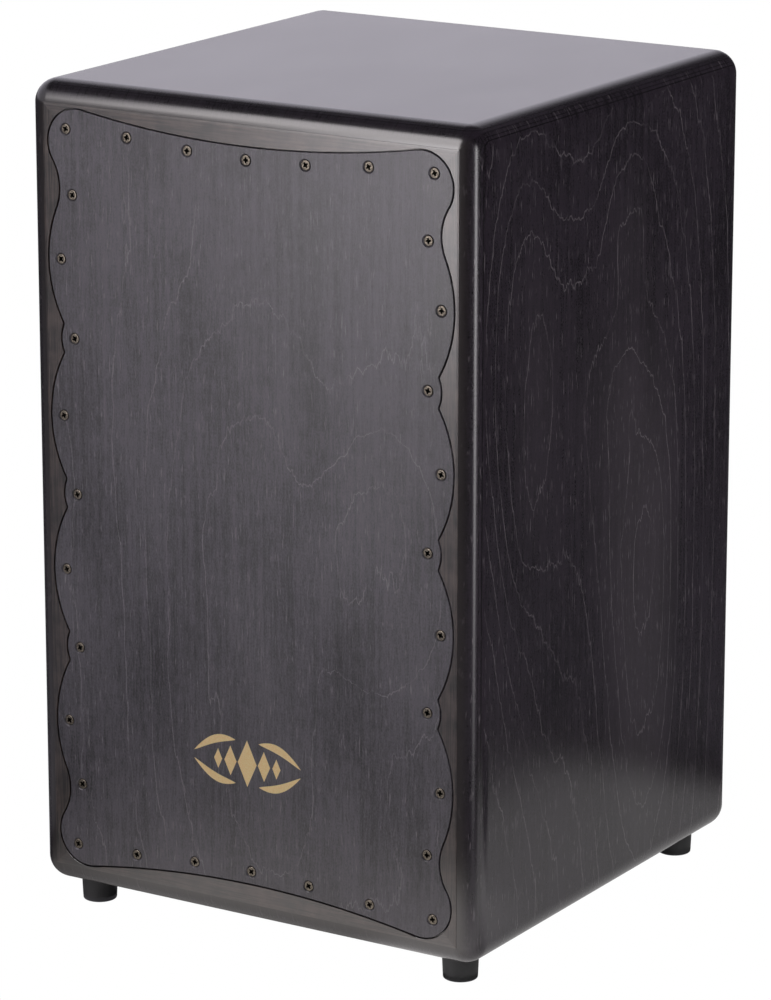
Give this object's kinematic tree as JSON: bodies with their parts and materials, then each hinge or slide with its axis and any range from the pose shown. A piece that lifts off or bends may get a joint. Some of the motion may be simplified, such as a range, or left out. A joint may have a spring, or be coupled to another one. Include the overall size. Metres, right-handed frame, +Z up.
{
  "type": "cajon",
  "caption": "Upright wooden box drum with a scalloped screwed front plate, a round sound hole at the back, rubber feet and snare strings tightened from below.",
  "frame": {"origin": "on the floor, under the middle of the box", "axes": "+Z up; the tapa faces -Y and the sound hole +Y; +X is to the right of a listener who faces the tapa"},
  "size_m": [0.3, 0.306, 0.4955],
  "materials": {
    "case_veneer": "black-stained birch veneer under satin lacquer",
    "tapa_veneer": "charcoal-stained veneer, fine straight grain, satin",
    "frame_wood": "charcoal-stained wood, slightly mottled, satin",
    "raw_birch": "raw sanded birch",
    "antique_screw": "antique bronze plating",
    "foot_rubber": "matt black rubber",
    "plated_steel": "zinc plated",
    "tension_alloy": "brushed",
    "wound_bronze": "wound string, satin"
  },
  "bodies": {
    "case": {"top_panel": "case_veneer", "bottom_panel": "case_veneer", "left_panel": "case_veneer", "right_panel": "case_veneer", "back_panel": "case_veneer", "front_top_rail": "frame_wood", "front_bottom_rail": "frame_wood", "front_left_stile": "frame_wood", "front_right_stile": "frame_wood", "back_top_batten": "raw_birch", "back_bottom_batten": "raw_birch", "back_left_batten": "raw_birch", "back_right_batten": "raw_birch", "string_block": "raw_birch", "tapa": "tapa_veneer", "tapa_screw_01": "antique_screw", "tapa_screw_02": "antique_screw", "tapa_screw_03": "antique_screw", "tapa_screw_04": "antique_screw", "tapa_screw_05": "antique_screw", "tapa_screw_06": "antique_screw", "tapa_screw_07": "antique_screw", "tapa_screw_08": "antique_screw", "tapa_screw_09": "antique_screw", "tapa_screw_10": "antique_screw", "tapa_screw_11": "antique_screw", "tapa_screw_12": "antique_screw", "tapa_screw_13": "antique_screw", "tapa_screw_14": "antique_screw", "tapa_screw_15": "antique_screw", "tapa_screw_16": "antique_screw", "tapa_screw_17": "antique_screw", "tapa_screw_18": "antique_screw", "tapa_screw_19": "antique_screw", "tapa_screw_20": "antique_screw", "tapa_screw_21": "antique_screw", "tapa_screw_22": "antique_screw", "tapa_screw_23": "antique_screw", "tapa_screw_24": "antique_screw", "tapa_screw_25": "antique_screw", "tapa_screw_26": "antique_screw", "tapa_screw_27": "antique_screw", "tapa_screw_28": "antique_screw", "tapa_screw_29": "antique_screw", "tapa_screw_30": "antique_screw", "tapa_screw_31": "antique_screw", "tapa_screw_32": "antique_screw", "foot_front_left": "foot_rubber", "foot_front_right": "foot_rubber", "foot_back_left": "foot_rubber", "foot_back_right": "foot_rubber", "foot_screw_front_left": "plated_steel", "foot_screw_front_right": "plated_steel", "foot_screw_back_left": "plated_steel", "foot_screw_back_right": "plated_steel", "strings_left": "wound_bronze", "strings_right": "wound_bronze"},
    "tension_bar": {"tension_bar": "tension_alloy"},
    "tension_screw_left": {"tension_screw_left": "plated_steel"},
    "tension_screw_right": {"tension_screw_right": "plated_steel"}
  },
  "joints": [
    {"name": "string_tension", "type": "slide", "parent": "case", "child": "tension_bar", "axis": [0, 0, 1], "range_m": [-0.003, 0.003], "deforming": ["strings_left", "strings_right"]},
    {"name": "left_screw_turn", "type": "hinge", "parent": "case", "child": "tension_screw_left", "pos_m": [-0.06, -0.1335, 0.016], "axis": [0, 0, 1], "range_deg": [-1350.5, 1350.5]},
    {"name": "right_screw_turn", "type": "hinge", "parent": "case", "child": "tension_screw_right", "pos_m": [0.06, -0.1335, 0.016], "axis": [0, 0, 1], "range_deg": [-1350.5, 1350.5]}
  ],
  "couplings": [
    {"joint": "left_screw_turn", "follows": "string_tension", "rad_per_m": -7854},
    {"joint": "right_screw_turn", "follows": "string_tension", "rad_per_m": -7854}
  ]
}
